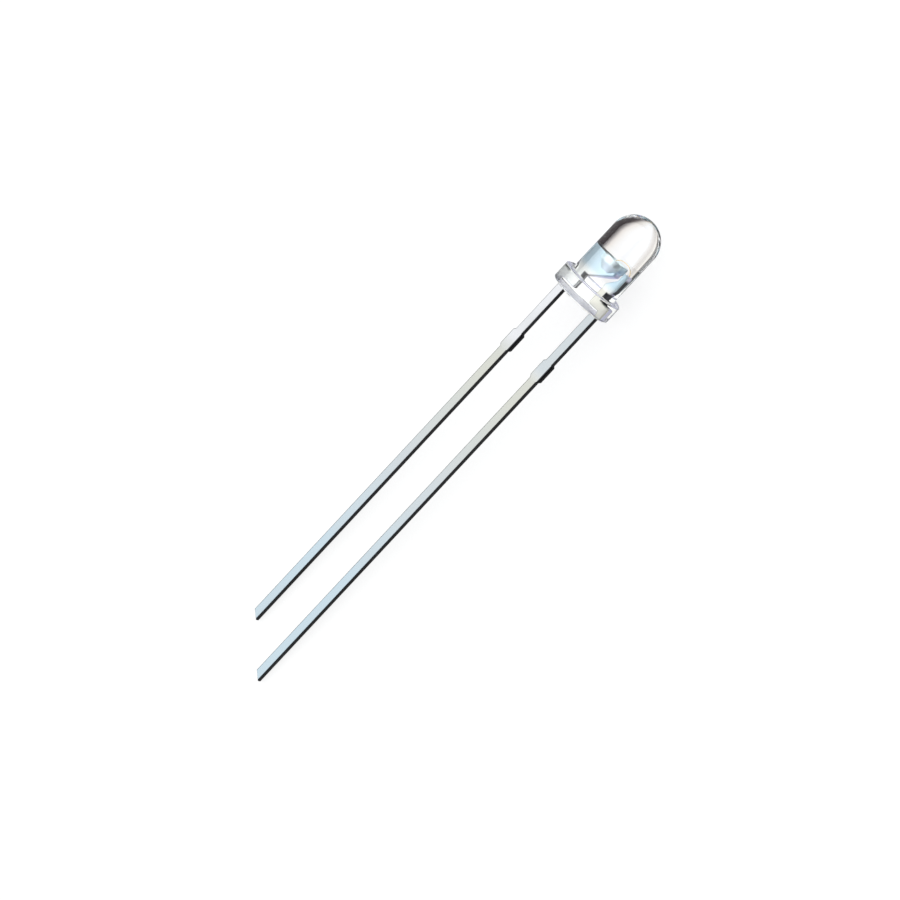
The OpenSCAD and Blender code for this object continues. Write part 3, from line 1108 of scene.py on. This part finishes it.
def sky_colour(tree, stage):
    """What the pieces mirror by direction: a broad light overhead, dim low down and on the anode's side."""
    heading = add(tree, "ShaderNodeTexCoord").outputs["Generated"]
    parts = add(tree, "ShaderNodeSeparateXYZ", {"Vector": heading}).outputs
    left_lens = add(tree, "ShaderNodeLightPath").outputs["Is Transmission Ray"]
    sideways = calculated("MULTIPLY_ADD", left_lens, SKY.through_lens, parts["Y"])
    high = ramp_between(parts["Z"], *SKY.high)
    on_cathode_side = ramp_between(sideways, *SKY.cathode_side)
    bright = tuple(part * stage.softbox for part in stage.overhead)
    return mixed(both(high, on_cathode_side), stage.surroundings, bright)


def picture_point(stage):
    """(point that the camera looks at, direction back to the camera, the camera's turn)."""
    a, e = stage.azimuth, stage.elevation
    back = Vector((math.sin(a) * math.cos(e), -math.cos(a) * math.cos(e), math.sin(e)))
    turn = back.to_track_quat("Z", "Y") @ Quaternion((0, 0, 1), -stage.roll)
    pixel = stage.frame_width / PICTURE_PIXELS
    right = (UNDERSIDE_PIXEL[0] - PICTURE_PIXELS / 2) * pixel
    up = (PICTURE_PIXELS / 2 - UNDERSIDE_PIXEL[1]) * pixel
    target = UNDERSIDE - turn @ Vector((right, up, 0.0))
    return target, back, turn


class LED_OT_stage(bpy.types.Operator):
    """Lays the pale floor and sets the sky and the camera"""

    bl_idname = "led.stage"
    bl_label = "Floor, sky and camera"

    def execute(self, context):
        scene = context.scene
        stage = scene.led_stage
        self.make_floor(scene, stage)
        self.make_sky(scene, stage)
        self.make_camera(scene, stage)
        scene.view_settings.view_transform = "Standard"
        return {"FINISHED"}

    def make_floor(self, scene, stage):
        bm = bmesh.new()
        bmesh.ops.create_grid(bm, x_segments=8, y_segments=8, size=FLOOR.half_width)
        mesh = bpy.data.meshes.new("floor")
        bm.to_mesh(mesh)
        bm.free()
        mesh.materials.append(pale_floor(stage))
        floor = bpy.data.objects.new("floor", mesh)
        scene.collection.objects.link(floor)

    def make_sky(self, scene, stage):
        world = bpy.data.worlds.new("studio")
        world.use_nodes = True
        scene.world = world
        tree = world.node_tree
        seen = add(tree, "ShaderNodeLightPath").outputs["Is Camera Ray"]
        shade = mixed(seen, sky_colour(tree, stage), stage.backdrop)
        set_inputs(tree, tree.nodes["Background"], {"Color": shade})

    def make_camera(self, scene, stage):
        target, back, turn = picture_point(stage)
        data = bpy.data.cameras.new("camera")
        data.lens = stage.lens
        data.sensor_width = SENSOR_WIDTH
        distance = stage.frame_width * stage.lens / SENSOR_WIDTH
        data.clip_start, data.clip_end = (distance * share for share in CLIP_SHARES)
        camera = bpy.data.objects.new("camera", data)
        camera.location = target + back * distance
        camera.rotation_mode = "QUATERNION"
        camera.rotation_quaternion = turn
        scene.collection.objects.link(camera)
        scene.camera = camera


class LED_PT_parts(bpy.types.Panel):
    """Lists the pieces of the LED"""

    bl_label = "Clear LED"
    bl_idname = "LED_PT_parts"
    bl_space_type = "VIEW_3D"
    bl_region_type = "UI"
    bl_category = "LED"

    def draw(self, context):
        for operator in OPERATORS:
            self.layout.operator(operator.bl_idname)
        for name in GROUPS:
            box = self.layout.box()
            group = getattr(context.scene, name)
            for size in group.__annotations__:
                box.prop(group, size)


GROUPS = {
    "led_lens": LensSizes,
    "led_leads": LeadSizes,
    "led_posts": PostSizes,
    "led_cup": CupSizes,
    "led_chip": ChipSizes,
    "led_finishes": Finishes,
    "led_stage": StageSettings,
}
OPERATORS = [LED_OT_cast_lens, LED_OT_lead_frame, LED_OT_chip, LED_OT_bond_wire, LED_OT_stage]


def register():
    for group in (*GROUPS.values(), *OPERATORS, LED_PT_parts):
        bpy.utils.register_class(group)
    for name, group in GROUPS.items():
        setattr(bpy.types.Scene, name, PointerProperty(type=group))


def unregister():
    for name in GROUPS:
        delattr(bpy.types.Scene, name)
    for group in reversed((*GROUPS.values(), *OPERATORS, LED_PT_parts)):
        bpy.utils.unregister_class(group)


def main():
    register()
    bpy.ops.led.cast_lens()
    bpy.ops.led.lead_frame()
    bpy.ops.led.chip()
    bpy.ops.led.bond_wire()
    bpy.ops.led.stage()


if __name__ == "__main__":
    main()
